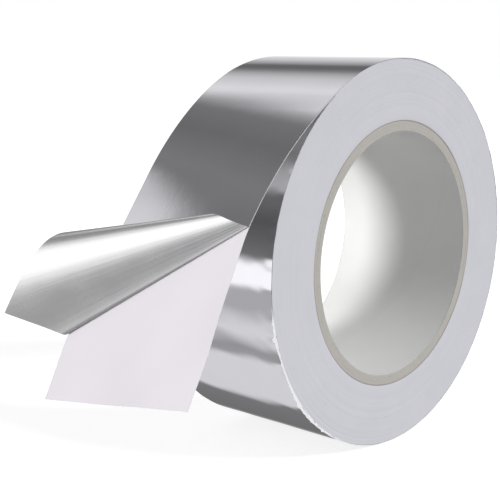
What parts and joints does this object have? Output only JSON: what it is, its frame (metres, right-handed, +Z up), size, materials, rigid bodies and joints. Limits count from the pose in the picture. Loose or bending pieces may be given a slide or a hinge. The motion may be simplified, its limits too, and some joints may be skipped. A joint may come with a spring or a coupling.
{
  "type": "roll of foil tape",
  "caption": "Roll of aluminium foil tape on a paper core, with a free tail whose foil is peeled back in a curl from its white release liner.",
  "frame": {"origin": "centre of the core's bore, half way along it", "axes": "+Y along the roll's axis, +Z up; the free tail leaves the roll towards -X"},
  "size_m": [0.162, 0.0639, 0.12],
  "materials": {
    "foil": "bright rolled aluminium foil",
    "adhesive": "thin clear acrylic adhesive over the foil's satin back",
    "release_liner": "white silicone-coated release paper",
    "wound_edge": "slit edges of many turns of foil and liner",
    "core_lining_paper": "smooth off-white lining paper with a spiral seam",
    "core_board": "grey-beige chipboard, cut edge",
    "core_wrap_paper": "brown-grey wrap ply, cut edge"
  },
  "bodies": {
    "roll": {"core_inner_ply": "core_lining_paper", "core_first_board_ply": "core_board", "core_second_board_ply": "core_board", "core_outer_ply": "core_wrap_paper", "wound_turns": "wound_edge", "last_turn_foil": "foil", "last_turn_adhesive": "adhesive", "last_turn_liner": "release_liner"},
    "tail": {"tail_foil": "foil", "tail_adhesive": "adhesive", "tail_liner": "release_liner", "fold_foil": "foil", "fold_adhesive": "adhesive"},
    "liner_end": {"bare_liner": "release_liner"},
    "foil_flap": {"flap_foil": "foil", "flap_adhesive": "adhesive"}
  },
  "joints": [
    {"name": "tail_lift", "type": "hinge", "parent": "roll", "child": "tail", "pos_m": [-0.03338, 0, 0.04986], "axis": [0, 1, 0], "range_deg": [0, 60]},
    {"name": "liner_swing", "type": "hinge", "parent": "tail", "child": "liner_end", "pos_m": [-0.0686, -0.02501, 0.01705], "axis": [-0.3241, 0.7882, -0.5231], "range_deg": [-40, 10]},
    {"name": "flap_curl", "type": "hinge", "parent": "tail", "child": "foil_flap", "pos_m": [-0.06496, -0.03452, 0.02341], "axis": [-0.3478, 0.7807, -0.5192], "range_deg": [-45, 6]}
  ]
}
